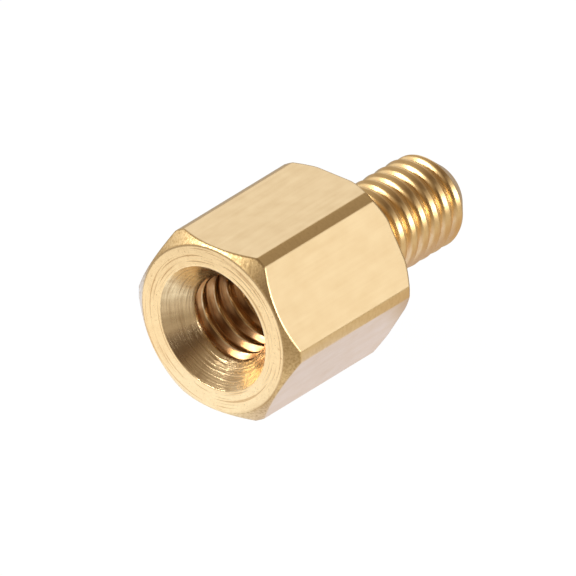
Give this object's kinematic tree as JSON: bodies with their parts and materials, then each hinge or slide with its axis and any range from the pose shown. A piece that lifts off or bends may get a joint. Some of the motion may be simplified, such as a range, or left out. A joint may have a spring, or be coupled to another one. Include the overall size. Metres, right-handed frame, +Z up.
{
  "type": "hex standoff",
  "caption": "Short male to female hex standoff in turned brass, with a countersunk tapped hole at one end and a threaded stud at the other.",
  "frame": {"origin": "on the axis, in the plane of the shoulder, at the root of the stud", "axes": "+X along the axis towards the stud's tip, +Z up while the part lies on one of its flats, +Y from one upper corner of the hexagon to the other side"},
  "size_m": [0.0104, 0.0062, 0.0056],
  "materials": {
    "brass": "bare brass: satin drawn flats, turned rings on the faces and chamfers, bright thread flanks"
  },
  "bodies": {
    "root": {"hex_standoff": "brass"}
  },
  "joints": []
}
